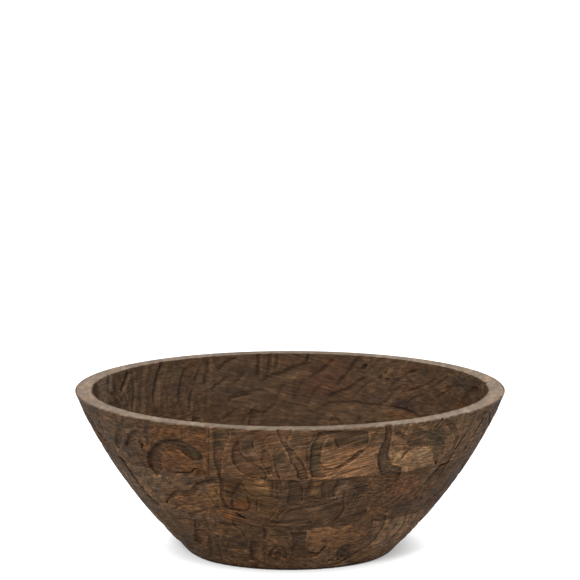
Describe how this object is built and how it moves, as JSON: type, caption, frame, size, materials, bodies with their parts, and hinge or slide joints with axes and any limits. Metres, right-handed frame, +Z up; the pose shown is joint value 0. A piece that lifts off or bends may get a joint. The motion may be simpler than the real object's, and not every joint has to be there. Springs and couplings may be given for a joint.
{
  "type": "serving bowl",
  "caption": "Wide flared wooden serving bowl with a flat rim, glued up in stacked layers of boards and carved all over with gouged curls, leaves and sweeps.",
  "frame": {"origin": "middle of the flat face that the bowl stands on, which is the middle of the bottom of its bounding box", "axes": "+Z up along the bowl's axis of turning, -Y towards the side that faces the viewer, +X to that viewer's right"},
  "size_m": [0.3192, 0.3192, 0.12],
  "materials": {
    "mango_brown": "stained mango wood, gouge-textured, dull wax",
    "mango_tan": "lighter tan stained mango wood, gouge-textured, dull wax",
    "mango_grey_brown": "grey-brown stained mango wood, gouge-textured, dull wax",
    "mango_knotty": "orange-brown knotty stained mango wood, gouge-textured, dull wax",
    "mango_red_brown": "red-brown stained mango wood, gouge-textured, dull wax"
  },
  "bodies": {
    "root": {"rim_left_board": "mango_brown", "rim_front_board": "mango_tan", "rim_back_board": "mango_grey_brown", "rim_right_board": "mango_tan", "middle_left_board": "mango_brown", "middle_front_knot_board": "mango_knotty", "middle_back_knot_board": "mango_knotty", "middle_front_board": "mango_grey_brown", "middle_back_board": "mango_grey_brown", "middle_right_board": "mango_red_brown", "base_left_board": "mango_grey_brown", "base_knot_board": "mango_knotty", "base_tan_board": "mango_tan", "base_right_board": "mango_brown"}
  },
  "joints": []
}
